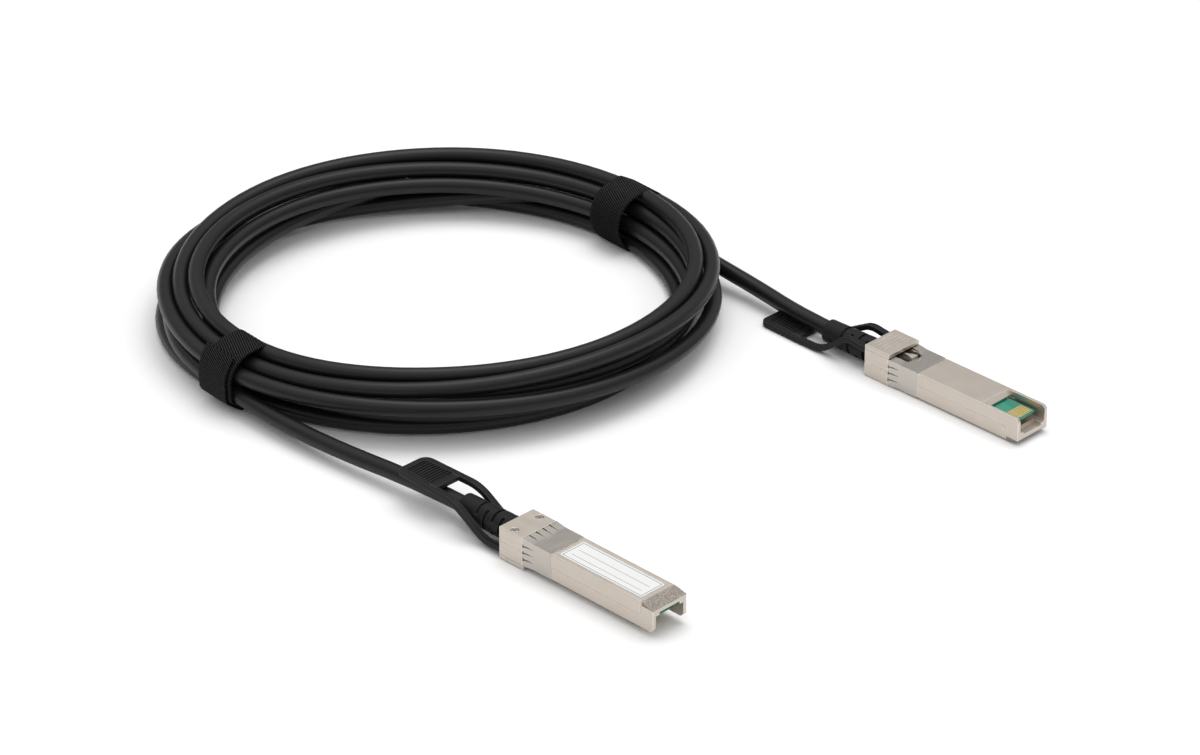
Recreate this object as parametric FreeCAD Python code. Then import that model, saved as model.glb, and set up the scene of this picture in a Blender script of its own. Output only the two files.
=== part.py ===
import FreeCAD, Part
import math
import os

# A passive copper cable with a pluggable metal connector on each end, coiled and tied.
# Millimetres. +X is the way both connectors push into a port, +Z is up and z = 0 is the
# table. The origin lies on the table, midway between the two connectors.
#
# Each connector is drawn in its own frame first: x = 0 at the rear face of its rear block,
# y = 0 on its middle plane, z = 0 at the latch face of the rear block, label side up.
# Connector a lies latch side down, connector b is turned over and lies latch side up.

# ---------------------------------------------------------------- driving dimensions
plug_length = 62.0          # rear block to nose
rear_length = 9.5           # rear block
rear_step = 0.4             # it stands above the body on the label side
rear_side_step = 0.25       # and beside it
body_width = 13.4           # the part that goes into the port
body_height = 8.5
body_floor = 1.8            # latch face of the body above the latch face of the rear block
seam_drop = 0.25            # parting plane of the two castings, below the cable's axis
seam_line_width = 0.12      # fine groove where they meet
seam_line_depth = 0.15
wall = 0.9                  # cast walls
tray_margin = 0.3           # extra wall beside the circuit card
cover_front_wall = 1.6
cover_end = 57.0            # where the cover meets the nose of the base
edge_round = 0.3
panel_step_length = 1.5     # lower strip of the latch face in front of the collar
panel_step_depth = 0.2
fit_gap = 0.05              # between pieces that slide or drop into each other
arm_gap = 0.15              # round the tab's arms where they run into the rear block

collar_length = 11.5        # spring-finger collar in front of the rear block
collar_thickness = 0.25
collar_seat_gap = 0.12      # the seat is longer than the collar
collar_slot_length = 0.5    # slot in the cover in front of the collar
collar_slot_width = 8.0
collar_slot_depth = 0.35
finger_length = 4.0
finger_lift = 0.3           # how far the finger ends stand off the body
fingers_side = 4
fingers_top = 5
slit_wide = 0.8             # between fingers, at their ends and at the bend
slit_narrow = 0.12
slit_foot = 0.5             # square notch where a slit starts
slit_foot_height = 1.3

latch_wall_end = 48.5       # the nose is open on its latch side from here
nose_side_wall = 1.1
nose_ceiling = 5.2          # depth of the nose cavity from the latch face of the body
nose_slope_start = 57.5
nose_slope_drop = 1.0
nose_chamfer = 1.1
cavity_lead_in = 1.5        # the cavity starts this far in front of the latch wall
nose_step_length = 3.2      # shallow step inside the mouth
nose_step_depth = 0.9
latch_bevel = 1.4           # on the end of the latch wall

card_depth = 2.25           # circuit card below the latch face of the body
card_thickness = 1.0
card_width = 9.2
card_start = 26.0
card_to_nose = 3.0
pad_length = 4.8
pad_width = 0.55
pad_pitch = 0.8
pad_thickness = 0.05
pads_per_face = 10
chip_start = 38.0
chip_length = 3.0
chip_width = 2.0
chip_height = 0.75

cable_diameter = 5.2
boot_length = 21.5
boot_front_radius = 4.25
boot_rear_radius = 3.8
boot_neck_radius = 3.2
boot_neck_length = 3.2
neck_groove_start = 1.2
neck_groove_end = 1.9
neck_groove_depth = 0.35
boot_groove_width = 1.3
boot_groove_depth = 1.0
ferrule_length = 4.6
ferrule_radius = 3.0
pair_width = 2.4            # one shielded pair of wires
pair_height = 1.5

slot_width = 6.3            # actuator slot in the latch face of the body
slot_depth = 0.9
latch_boss_height = 0.45
latch_boss_width = 2.6
latch_boss_length = 2.6
latch_boss_shoulder = 14.4  # its steep face, in front of the rear block
slider_thickness = 0.5
slider_gap = 0.1            # below the latch face of the body
slider_prong_width = 1.3
slider_tip = 14.0
slider_travel = 2.5
slider_overrun = 1.0        # its wings come this far out of the rear block when pulled
slider_margin = 0.95        # from its wings to the side of the rear block
prong_tip_length = 1.6
prong_tip_drop = 0.35
cap_thickness = 1.2
cap_lip = 0.4               # stands out in front of the rear block
cap_ribs = 5
cap_rib_groove = 0.5
cap_rib_length = 9.4
cap_rib_depth = 0.16
stop_length = 0.8           # post on the cap that holds the return spring
stop_width = 1.8

spring_wire = 0.25
spring_radius = 0.62
spring_length = 5.0
spring_start = 3.0          # front face of the base's stop
spring_turns = 4

tab_thickness = 1.7
tab_rear = -44.0            # behind the rear block
tab_window = -28.6
tab_core = 1.0
tab_rim = 1.2
tab_overhang = 0.3          # the plate is this much wider than the middles of its arms
tab_ribs = 10
tab_above_cable = 3.95      # tab a: middle of its plate above the cable's axis
tab_off_table = 0.95        # tab b: middle of its plate above the table
arm_width = 2.2
arm_margin = 1.45           # middle of each arm from the side of the rear block
arm_height = 2.4            # where the arms run into the rear block

screw_x = 4.5
screw_y = 5.0
screw_head_radius = 1.3
screw_head_height = 0.9
screw_shank_radius = 0.7
screw_bite = 2.0            # the shank goes this far below the parting plane
cross_half = 0.75           # cross recess
cross_arm = 0.14
cross_depth = 0.4

label_start = 22.7
label_length = 32.8
label_width = 9.8
label_thickness = 0.1
label_recess = 0.15

plug_spacing = 154.6        # between the middle planes of the two connectors
plug_a_x = -10.0
plug_b_x = -8.0

coil_x = -127.0
coil_y = 2.5
coil_long_radius = 79.0     # middle of the bundle, an oval of four arcs
coil_short_radius = 73.5
coil_end_radius = 68.0      # of the two tighter arcs
coil_turned = 62.0          # degrees from +X to the long axis
bundle_width = 20.0
bundle_height = 21.6
bundle_sides = 12
strap_width = 10.0
strap_thickness = 1.6
strap_proud = 0.7           # the rest of its thickness presses into the bundle
strap_a_angle = -96.5       # degrees from +X round the coil
strap_b_angle = 86.5

# ---------------------------------------------------------------- worked-out dimensions
body_top = body_floor + body_height
rear_height = body_top + rear_step
rear_width = body_width + 2 * rear_side_step
axis_height = body_floor + body_height / 2        # cable axis
turned_axis_height = rear_height - axis_height    # of the connector that is turned over
seam_height = axis_height - seam_drop
screw_tip = seam_height - screw_bite
collar_end = rear_length + collar_length
card_floor = body_floor + card_depth
card_top = card_floor + card_thickness
card_end = plug_length - card_to_nose
ceiling = body_floor + nose_ceiling
card_lead_in = boot_neck_length + ferrule_length + 0.2      # where the cable ends
coil_end_centre = coil_long_radius - coil_end_radius
coil_side_centre = ((coil_end_centre ** 2 - (coil_short_radius - coil_end_radius) ** 2)
                    / (2 * (coil_short_radius - coil_end_radius)))
coil_side_radius = coil_short_radius + coil_side_centre
slider_floor = body_floor + slider_gap
slider_top = slider_floor + slider_thickness
slot_top = body_floor + slot_depth
slider_half_width = rear_width / 2 - slider_margin
slider_wing_start = slider_travel - slider_overrun
arm_offset = rear_width / 2 - arm_margin          # middle of each arm from the middle plane
tab_half_width = arm_offset + tab_overhang
plug_y = plug_spacing / 2

# Routes of the two straight stretches of cable, from inside the connector to the coil.
lead_a_route = [
    (-2.0, -plug_y, axis_height),
    (-46.0, -plug_y, axis_height),
    (-80.0, -81.0, 5.0),
    (-108.0, -82.6, 5.2),
    (-136.0, -79.2, 7.5),
]
lead_b_route = [
    (0.0, plug_y, turned_axis_height),
    (-38.0, plug_y, turned_axis_height),
    (-62.0, 80.8, 5.1),
    (-88.0, 80.0, 8.0),
    (-118.0, 80.6, 12.5),
]


# ---------------------------------------------------------------- helpers
def vec(x, y, z):
    return FreeCAD.Vector(x, y, z)


def box(x0, x1, y0, y1, z0, z1):
    return Part.makeBox(x1 - x0, y1 - y0, z1 - z0, vec(x0, y0, z0))


def wide_box(x0, x1, width, z0, z1):
    return box(x0, x1, -width / 2, width / 2, z0, z1)


def rod(x0, x1, radius, y=0.0, z=None):
    height = axis_height if z is None else z
    return Part.makeCylinder(radius, x1 - x0, vec(x0, y, height), vec(1, 0, 0))


def post(radius, z0, z1, x, y):
    return Part.makeCylinder(radius, z1 - z0, vec(x, y, z0))


def prism(points, direction):
    """Solid from a closed outline of (x, y, z) corners pushed along a vector."""
    corners = [vec(*point) for point in points]
    face = Part.Face(Part.makePolygon(corners + corners[:1]))
    return face.extrude(vec(*direction))


def edges_along(shape, axis, test=None):
    """Straight edges that run along one axis (0, 1 or 2), narrowed by a test on their middle."""
    found = []
    for edge in shape.Edges:
        if len(edge.Vertexes) != 2 or not isinstance(edge.Curve, Part.Line):
            continue
        run = edge.Vertexes[1].Point.sub(edge.Vertexes[0].Point)
        if abs(run[axis]) < 0.999 * run.Length:
            continue
        if test is None or test(edge.CenterOfMass):
            found.append(edge)
    return found


def fuse_all(shapes):
    whole = shapes[0].multiFuse(shapes[1:]) if len(shapes) > 1 else shapes[0]
    return whole.removeSplitter()


def tangent_route(points, share=0.45, report=None):
    """Straight runs joined by tangent arcs, as one wire."""
    knots = [vec(*point) for point in points]
    parts = []
    start = knots[0]
    for before, corner, after in zip(knots, knots[1:], knots[2:]):
        way_in = corner.sub(before)
        way_out = after.sub(corner)
        reach = share * min(way_in.Length, way_out.Length)
        way_in.normalize()
        way_out.normalize()
        turn = way_in.getAngle(way_out)
        radius = reach / math.tan(turn / 2)
        first = corner.sub(way_in * reach)
        last = corner.add(way_out * reach)
        inward = way_out.sub(way_in)
        inward.normalize()
        middle = corner.add(inward * (radius / math.cos(turn / 2) - radius))
        parts.append(Part.LineSegment(start, first).toShape())
        parts.append(Part.Arc(first, middle, last).toShape())
        start = last
        if report:
            print(report, "bend radius", round(radius, 1))
    parts.append(Part.LineSegment(start, knots[-1]).toShape())
    return Part.Wire(parts)


def bent_route(points, radius):
    """Straight runs joined by arcs of one radius, as one wire."""
    knots = [vec(*point) for point in points]
    parts = []
    start = knots[0]
    for before, corner, after in zip(knots, knots[1:], knots[2:]):
        way_in = corner.sub(before)
        way_out = after.sub(corner)
        way_in.normalize()
        way_out.normalize()
        turn = way_in.getAngle(way_out)
        reach = radius * math.tan(turn / 2)
        first = corner.sub(way_in * reach)
        last = corner.add(way_out * reach)
        inward = way_out.sub(way_in)
        inward.normalize()
        middle = corner.add(inward * (radius / math.cos(turn / 2) - radius))
        parts.append(Part.LineSegment(start, first).toShape())
        parts.append(Part.Arc(first, middle, last).toShape())
        start = last
    parts.append(Part.LineSegment(start, knots[-1]).toShape())
    return Part.Wire(parts)


def swept_bar(wire, start, width, height, cut=0.0):
    """Bar of rectangular section along a wire that starts along X; its width stays level.

    With a cut, the section's four corners are cut off by that much.
    """
    across, up = width / 2, height / 2
    if cut:
        outline = [(across - cut, -up), (across, -up + cut), (across, up - cut), (across - cut, up),
                   (cut - across, up), (-across, up - cut), (-across, cut - up), (cut - across, -up)]
    else:
        outline = [(-across, -up), (across, -up), (across, up), (-across, up)]
    corners = [vec(start[0], start[1] + y, start[2] + z) for y, z in outline]
    section = Part.makePolygon(corners + corners[:1])
    sweep = Part.BRepOffsetAPI.MakePipeShell(wire)
    sweep.setBiNormalMode(vec(0, 1, 0))
    sweep.add(section)
    sweep.build()
    sweep.makeSolid()
    return sweep.shape()


# ---------------------------------------------------------------- connector castings
def envelope(z0, z1):
    """Outside of the connector between two heights: rear block, collar seat and body."""
    rear = wide_box(0, rear_length, rear_width, max(z0, cap_thickness), min(z1, rear_height))
    rear = rear.makeFillet(edge_round, edges_along(rear, 0, lambda p: is_outer_edge(p, z0, z1)))
    low, high = max(z0, body_floor), min(z1, body_top)
    body = wide_box(rear_length, plug_length, body_width, low, high)
    body = body.makeFillet(edge_round, edges_along(body, 0, lambda p: is_outer_edge(p, z0, z1)))
    seat = wide_box(rear_length, collar_end + collar_seat_gap, body_width + 1, body_floor - 1, body_top + 1)
    core = wide_box(rear_length - 1, collar_end + 1, body_width - 2 * collar_thickness,
                    body_floor + collar_thickness, body_top - collar_thickness)
    return rear.fuse(body.cut(seat.cut(core)))


def is_outer_edge(point, z0, z1):
    """True for the long edges of the whole connector, false for those on the seam."""
    return abs(point.z - seam_height) > 0.01


def cable_bore():
    """Stepped hole for the boot's neck and the crimped ferrule, seen from both halves."""
    neck = rod(-1, boot_neck_length + fit_gap, boot_neck_radius + fit_gap)
    rib = rod(neck_groove_start + fit_gap, neck_groove_end - fit_gap, boot_neck_radius + 1)
    rib = rib.cut(rod(0, boot_neck_length, boot_neck_radius - neck_groove_depth + fit_gap))
    seat = rod(boot_neck_length, card_lead_in, ferrule_radius + fit_gap)
    through = rod(0, card_start, cable_diameter / 2 + fit_gap)
    return neck.cut(rib).fuse([seat, through])


def base_housing():
    """Die-cast base: latch half of the connector, with the whole nose and the latch boss."""
    base = envelope(cap_thickness, seam_height)
    nose = wide_box(cover_end, plug_length, body_width, body_floor, body_top)
    nose = nose.makeFillet(edge_round, edges_along(nose, 0))
    base = base.fuse(nose)
    slope = prism([(nose_slope_start, -rear_width, body_top), (plug_length, -rear_width, body_top),
                   (plug_length, -rear_width, body_top - nose_slope_drop)], (0, 2 * rear_width, 0))
    tray = wide_box(rear_length + wall, cover_end - wall, body_width - 2 * (wall + tray_margin),
                    slot_top + wall, seam_height)
    ledge_rest = wide_box(card_start - 1, cover_end - wall, body_width - 2 * (wall + tray_margin),
                          slot_top + wall, card_floor)
    ledge_gap = wide_box(card_start - 2, cover_end, card_width - 1.6, 0, card_floor)
    inside_width = body_width - 2 * nose_side_wall
    cavity = wide_box(latch_wall_end + cavity_lead_in, plug_length + 1, inside_width, body_floor - 1, ceiling)
    mouth = wide_box(latch_wall_end, plug_length + 1, inside_width, body_floor - 1, card_floor)
    step = wide_box(plug_length - nose_step_length, plug_length + 1, card_width - 1.0, 0,
                    ceiling + nose_step_depth)
    panel_step = wide_box(collar_end, collar_end + panel_step_length, rear_width,
                          0, body_floor + panel_step_depth)
    toe = prism([(plug_length + 0.01, -rear_width, body_floor - 0.01),
                 (plug_length - nose_chamfer, -rear_width, body_floor - 0.01),
                 (plug_length + 0.01, -rear_width, body_floor + nose_chamfer)],
                (0, 2 * rear_width, 0))
    bevel = prism([(latch_wall_end + 0.01, 0, body_floor - 0.01),
                   (latch_wall_end - latch_bevel, 0, body_floor - 0.01),
                   (latch_wall_end + 0.01, 0, body_floor + latch_bevel)], (0, inside_width / 2, 0))
    bevel = bevel.fuse(bevel.mirror(vec(0, 0, 0), vec(0, 1, 0)))
    cuts = [slope, tray.cut(ledge_rest.cut(ledge_gap)), cavity, mouth, step, toe, bevel, panel_step,
            cable_bore()]
    cuts.append(slider_space())
    for side in (-1, 1):
        cuts.append(post(screw_shank_radius, screw_tip, seam_height + 1, screw_x, side * screw_y))
    base = base.cut(Part.makeCompound(cuts))
    return fuse_all([base, latch_boss()])


def slider_space():
    """Room for the slider, the ends of the tab's arms and the return spring."""
    plate = wide_box(-1, rear_length, 2 * slider_half_width + 0.4, 0, slot_top)
    slot = wide_box(rear_length - 1, slider_tip + 2.5, slot_width, 0, slot_top)
    spring = spring_room()
    arms = []
    reach = arm_width / 2 + arm_gap
    for side in (-1, 1):
        middle = side * arm_offset
        arms.append(box(-1, rear_length - 0.9, min(middle - reach, middle + reach),
                        max(middle - reach, middle + reach), 0,
                        arm_height + tab_thickness / 2 + arm_gap))
    return fuse_all([plate, slot, spring] + arms)


def spring_room():
    height = slider_floor + slider_thickness / 2
    return rod(spring_start, spring_start + spring_length + 0.3, spring_radius + 0.12, z=height)


def latch_boss():
    """Small wedge that the port's latch catches: a steep face to the front, a point behind."""
    back = latch_boss_shoulder - 4.6
    half = latch_boss_width / 2
    top = body_floor - latch_boss_height
    foot = prism([(back, -0.15, slot_top), (latch_boss_shoulder, -half, slot_top),
                  (latch_boss_shoulder, half, slot_top), (back, 0.15, slot_top)],
                 (0, 0, top - slot_top))
    ramp = prism([(back - 0.1, -half, body_floor), (back - 0.1, -half, top - 0.1),
                  (latch_boss_shoulder - 1.0, -half, top - 0.1)], (0, 2 * half, 0))
    return foot.cut(ramp)


def cover_housing():
    """Die-cast cover: label half of the connector, let in behind the nose of the base."""
    cover = envelope(seam_height, rear_height)
    cover = cover.cut(wide_box(cover_end - seam_line_width, plug_length + 1, rear_width, 0,
                               rear_height + 1))
    pocket = wide_box(rear_length + wall, cover_end - cover_front_wall, body_width - 2 * (wall + tray_margin),
                      seam_height, body_top - wall)
    recess = wide_box(label_start - 0.5, label_start + label_length + 0.5, label_width + 0.6,
                      body_top - label_recess, body_top + 1)
    recess = recess.makeFillet(0.5, edges_along(recess, 2))
    slot = wide_box(collar_end, collar_end + collar_slot_length, collar_slot_width,
                    body_top - collar_slot_depth, body_top + 1)
    cuts = [pocket, recess, slot, cable_bore(), nose_cavity_above_seam(), seam_line()]
    for side in (-1, 1):
        y = side * screw_y
        cuts.append(post(screw_head_radius, rear_height - screw_head_height + 0.1,
                         rear_height + 1, screw_x, y))
        cuts.append(post(screw_shank_radius, seam_height - 1, rear_height, screw_x, y))
    return cover.cut(Part.makeCompound(cuts)).removeSplitter()


def seam_line():
    """Fine groove along the sides and the back of the cover, where it meets the base."""
    top = seam_height + seam_line_width
    groove = wide_box(-1, cover_end, 2 * rear_width, seam_height - 1, top)
    body = wide_box(rear_length, cover_end, body_width - 2 * seam_line_depth, 0, top)
    rear = wide_box(seam_line_depth, rear_length, rear_width - 2 * seam_line_depth, 0, top)
    seat = wide_box(rear_length, collar_end, body_width, 0, top)
    return groove.cut(body.fuse([rear, seat]))


def nose_cavity_above_seam():
    inside_width = body_width - 2 * nose_side_wall
    return wide_box(latch_wall_end + cavity_lead_in, plug_length + 1, inside_width, body_floor, ceiling)


def latch_cap():
    """Thin ribbed cap over the slider, on the latch face of the rear block."""
    cap = wide_box(0, rear_length + cap_lip, rear_width, 0, cap_thickness)
    cap = cap.makeFillet(edge_round, edges_along(cap, 0, lambda p: p.z < 0.01))
    grooves = []
    pitch = (rear_length - 2.0) / cap_ribs
    for count in range(cap_ribs):
        x = 1.0 + pitch * (count + 0.5)
        grooves.append(wide_box(x - cap_rib_groove / 2, x + cap_rib_groove / 2, cap_rib_length, -1, cap_rib_depth))
    arm_room = []
    reach = arm_width / 2 + arm_gap
    for side in (-1, 1):
        arm_room.append(wide_box(-1, rear_length - 0.9, 2 * reach, cap_thickness - 0.1,
                                 cap_thickness + 1).translated(vec(0, side * arm_offset, 0)))
    cap = cap.cut(Part.makeCompound(grooves + [spring_room()] + arm_room))
    stop = wide_box(spring_start - stop_length, spring_start, stop_width, cap_thickness / 2,
                    slider_top + fit_gap)
    return fuse_all([cap, stop])


# ---------------------------------------------------------------- spring-finger collar
def collar_outline(x, lift):
    """Closed rectangle round the body at x, standing off it by the lift."""
    half = body_width / 2 + lift
    low, high = body_floor - lift, body_top + lift
    corners = [vec(x, -half, low), vec(x, half, low), vec(x, half, high), vec(x, -half, high)]
    return Part.makePolygon(corners + corners[:1])


def tapered_box(x0, lift0, x1, lift1):
    return Part.makeLoft([collar_outline(x0, lift0), collar_outline(x1, lift1)], True)


def emi_collar():
    """Folded spring sheet round the body; its rear is cut into fingers that stand off."""
    bend = rear_length + fit_gap + finger_length
    start = rear_length + fit_gap
    inner = -collar_thickness
    front = tapered_box(bend, 0, collar_end, 0).cut(tapered_box(bend - 1, inner, collar_end + 1, inner))
    flare = tapered_box(start, finger_lift, bend, 0)
    flare = flare.cut(tapered_box(start - 0.01, finger_lift - collar_thickness,
                                  bend + 0.01, inner))
    cuts = []
    height_pitch = (body_height + 0.4) / fingers_side
    for count in range(1, fingers_side):
        z = body_floor - 0.2 + height_pitch * count
        cuts.append(slit(start, bend, z))
    width_pitch = body_width / fingers_top
    for count in range(1, fingers_top):
        y = -body_width / 2 + width_pitch * count
        cuts.append(top_slit(start, bend, y))
    cuts.append(latch_window(start))
    return front.fuse(flare).cut(Part.makeCompound(cuts)).removeSplitter()


def slit(start, bend, z):
    """Wedge through both sides, with a square foot at the finger ends, closing at the bend."""
    wedge = prism([(start - 1, -rear_width, z - slit_wide / 2), (start - 1, -rear_width, z + slit_wide / 2),
                   (bend, -rear_width, z + slit_narrow / 2), (bend, -rear_width, z - slit_narrow / 2)],
                  (0, 2 * rear_width, 0))
    foot = wide_box(start - 1, start + slit_foot, 2 * rear_width, z - slit_foot_height / 2,
                    z + slit_foot_height / 2)
    return wedge.fuse(foot)


def top_slit(start, bend, y):
    return prism([(start - 1, y - slit_wide / 2, axis_height), (start - 1, y + slit_wide / 2, axis_height),
                  (bend, y + slit_narrow / 2, axis_height), (bend, y - slit_narrow / 2, axis_height)],
                 (0, 0, rear_height))


def latch_window(start):
    """Opening in the collar's latch face round the boss and the slider's prongs."""
    half = slot_width / 2 + 0.5
    outline = [(start - 1, -half - 0.4, 0), (start + 2.4, -half - 0.4, 0), (start + 5.0, -half + 0.3, 0),
               (start + 7.0, 0, 0), (start + 5.0, half - 0.3, 0), (start + 2.4, half + 0.4, 0),
               (start - 1, half + 0.4, 0)]
    return prism(outline, (0, 0, body_floor + collar_thickness + 0.1))


# ---------------------------------------------------------------- inside the connector
def circuit_card():
    card = wide_box(card_start, card_end, card_width, card_floor, card_top)
    return card.makeChamfer(0.35, edges_along(card, 1, lambda p: p.x > card_end - 0.1))


def contact_pads():
    """Gold contact fingers on both faces of the card's front edge."""
    pads = []
    x1 = card_end - 0.4
    for count in range(pads_per_face):
        y = (count - (pads_per_face - 1) / 2) * pad_pitch
        for z in (card_floor - pad_thickness, card_top):
            pads.append(box(x1 - pad_length, x1, y - pad_width / 2, y + pad_width / 2,
                            z, z + pad_thickness))
    return Part.makeCompound(pads)


def memory_chip():
    top = card_top + chip_height
    chip = wide_box(chip_start, chip_start + chip_length, chip_width, card_top, top)
    return chip.makeChamfer(0.15, edges_along(chip, 0, lambda p: p.z > top - 0.05))


def wire_pair(side):
    """One shielded pair, from the end of the cable down onto the card."""
    y = side * (pair_width / 2 + 0.1)
    start = card_lead_in + fit_gap
    end_height = card_top + pair_height / 2
    route = [(start, y, axis_height), (start + 5, y, axis_height),
             (card_start - 3, y, end_height), (card_start + 4, y, end_height)]
    return swept_bar(bent_route(route, 4.0), route[0], pair_width, pair_height, 0.5)


def ferrule():
    """Crimped sleeve that grips the cable's end."""
    start = boot_neck_length + fit_gap
    sleeve = rod(start, start + ferrule_length, ferrule_radius)
    return sleeve.cut(rod(0, plug_length, cable_diameter / 2 + fit_gap))


def strain_relief():
    """Moulded boot: tapered, with staggered flex slots, and a grooved neck in the castings."""
    profile = Part.makeCone(boot_rear_radius, boot_front_radius, boot_length,
                            vec(-boot_length, 0, axis_height), vec(1, 0, 0))
    rear_rim = [edge for edge in profile.Edges if edge.CenterOfMass.x < -boot_length + 0.1]
    boot = profile.makeChamfer(0.6, rear_rim[:1])
    neck = rod(0, boot_neck_length, boot_neck_radius)
    groove = rod(neck_groove_start, neck_groove_end, boot_neck_radius + 1)
    neck = neck.cut(groove.cut(rod(0, boot_neck_length, boot_neck_radius - neck_groove_depth)))
    slots = []
    for count, x in enumerate((-13.2, -9.9, -6.6, -3.3)):
        ring = rod(x - boot_groove_width / 2, x + boot_groove_width / 2, boot_front_radius + 1)
        ring = ring.cut(rod(x - 2, x + 2, boot_front_radius - boot_groove_depth))
        level = count % 2 == 0
        keep_y, keep_z = (7.0, 1.6) if level else (1.6, 7.0)
        web = box(x - 2, x + 2, -keep_y, keep_y, axis_height - keep_z, axis_height + keep_z)
        slots.append(ring.cut(web))
    bore = rod(-boot_length - 1, boot_neck_length + 1, cable_diameter / 2 + fit_gap)
    return boot.fuse(neck).cut(Part.makeCompound(slots + [bore])).removeSplitter()


# ---------------------------------------------------------------- release mechanism
def release_slider():
    """Sheet fork: a wide plate in the rear block and two prongs beside the latch boss."""
    front = wide_box(spring_start, rear_length, 2 * slider_half_width, slider_floor, slider_top)
    wings = wide_box(slider_wing_start, rear_length, 2 * slider_half_width, slider_floor, slider_top)
    boot_room = wide_box(0, spring_start, 2 * (boot_front_radius + fit_gap), 0, rear_height)
    plate = front.fuse(wings.cut(boot_room))
    prong_span = slot_width - 0.3
    fork = wide_box(rear_length, slider_tip, prong_span, slider_floor, slider_top)
    between = prong_span / 2 - slider_prong_width
    crotch = prism([(slider_tip + 1, -between, 0), (slider_tip + 1, between, 0),
                    (rear_length + 1.0, between, 0), (rear_length - 2.8, 0.6, 0),
                    (rear_length - 2.8, -0.6, 0), (rear_length + 1.0, -between, 0)], (0, 0, rear_height))
    window = wide_box(0, spring_start + spring_length, 2.0, 0, rear_height)
    tips = []
    for side in (-1, 1):
        tip = prism([(slider_tip - prong_tip_length, 0, slider_floor), (slider_tip, 0, slider_floor),
                     (slider_tip - prong_tip_length, 0, slider_floor - prong_tip_drop)],
                    (0, slider_prong_width, 0))
        tips.append(tip.translated(vec(0, side * (between + slider_prong_width / 2)
                                       - slider_prong_width / 2, 0)))
    fork = fork.cut(crotch)
    return fuse_all([plate.cut(window).cut(crotch_clear()), fork] + tips)


def crotch_clear():
    """Notch in the slider's plate that leaves the latch boss clear over the whole travel."""
    return box(rear_length - 0.4, rear_length + 1, -0.8, 0.8, 0, rear_height)


def return_spring():
    """Small compression spring between the base's stop and the front of the slider's window."""
    pitch = (spring_length - spring_wire) / spring_turns
    helix = Part.makeHelix(pitch, spring_length - spring_wire, spring_radius - spring_wire / 2)
    corners = []
    for count in range(6):
        turn = math.pi * (count + 0.5) / 3
        corners.append(vec(spring_radius - spring_wire / 2 * (1 - math.cos(turn)), 0,
                           spring_wire / 2 * math.sin(turn)))
    section = Part.makePolygon(corners + corners[:1])
    coil = Part.Wire(helix.Edges).makePipeShell([section], True, True)
    coil.rotate(vec(0, 0, 0), vec(0, 1, 0), 90)
    height = slider_floor + slider_thickness / 2
    return coil.translated(vec(spring_start + spring_wire / 2, 0, height))


def pull_tab(plate_height, arm_dip, dip_x, sideways, arm_corners):
    """Flexible tab: ribbed plate, and two arms that pass the boot and grip the slider.

    The plate lies at its height, moved sideways; each arm leaves it level as far as its own
    corner (x, and how far it is shifted in y), drops to the dip and then runs straight into
    the rear block.
    """
    z0 = plate_height - tab_thickness / 2
    z1 = plate_height + tab_thickness / 2
    plate = box(tab_rear, tab_window + 1.0, sideways - tab_half_width, sideways + tab_half_width, z0, z1)
    plate = plate.makeFillet(1.8, edges_along(plate, 2, lambda p: p.x < tab_rear + 1))
    sink = (tab_thickness - tab_core) / 2
    pieces = []
    for low, high in ((z0 - 1, z0 + sink), (z1 - sink, z1 + 1)):
        pocket = box(tab_rear + tab_rim, tab_window - 0.2, sideways - tab_half_width + tab_rim,
                     sideways + tab_half_width - tab_rim, low, high)
        pieces.append(pocket)
    plate = plate.cut(Part.makeCompound(pieces))
    pitch = (tab_window - 0.2 - tab_rear - tab_rim) / tab_ribs
    ribs = []
    for count in range(tab_ribs):
        x = tab_rear + tab_rim + pitch * (count + 0.5)
        ribs.append(box(x - 0.3, x + 0.3, sideways - tab_half_width + tab_rim,
                        sideways + tab_half_width - tab_rim, z0 + 0.1, z1 - 0.1))
    arms = []
    for side, (corner_x, shift) in zip((-1, 1), arm_corners):
        far_y = sideways + side * arm_offset
        near_y = side * arm_offset
        route = [(rear_length - 2.0, near_y, arm_height), (-2.0, near_y, arm_height),
                 (dip_x, near_y, arm_dip), (corner_x, near_y + shift, plate_height),
                 (tab_window - 0.5, far_y, plate_height)]
        arms.append(swept_bar(bent_route(route, 3.0), route[0], arm_width, tab_thickness))
    tab = fuse_all([plate] + ribs + arms)
    slot = wide_box(slider_wing_start, rear_length + 1, 2 * slider_half_width + 1,
                    slider_floor, slider_top)
    return tab.cut(slot)


def screws():
    """Two cross-head screws that hold the castings together."""
    both = []
    for side in (-1, 1):
        y = side * screw_y
        top = rear_height - 0.05
        head = post(screw_head_radius - fit_gap, top - screw_head_height + 0.15, top, screw_x, y)
        head = head.makeChamfer(0.2, [e for e in head.Edges if e.CenterOfMass.z > top - 0.05
                                      and isinstance(e.Curve, Part.Circle)][:1])
        cross = box(screw_x - cross_half, screw_x + cross_half, y - cross_arm, y + cross_arm,
                    top - cross_depth, top + 1)
        cross = cross.fuse(box(screw_x - cross_arm, screw_x + cross_arm, y - cross_half,
                               y + cross_half, top - cross_depth, top + 1))
        shank = post(screw_shank_radius, screw_tip, top - cross_depth, screw_x, y)
        both.append(fuse_all([head.cut(cross), shank.cut(cross)]))
    return Part.makeCompound(both)


def label():
    """Blank paper label in the cover's recess."""
    z0 = body_top - label_recess
    plate = box(label_start, label_start + label_length, -label_width / 2, label_width / 2,
                z0, z0 + label_thickness)
    return plate.makeFillet(0.8, edges_along(plate, 2))


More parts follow.
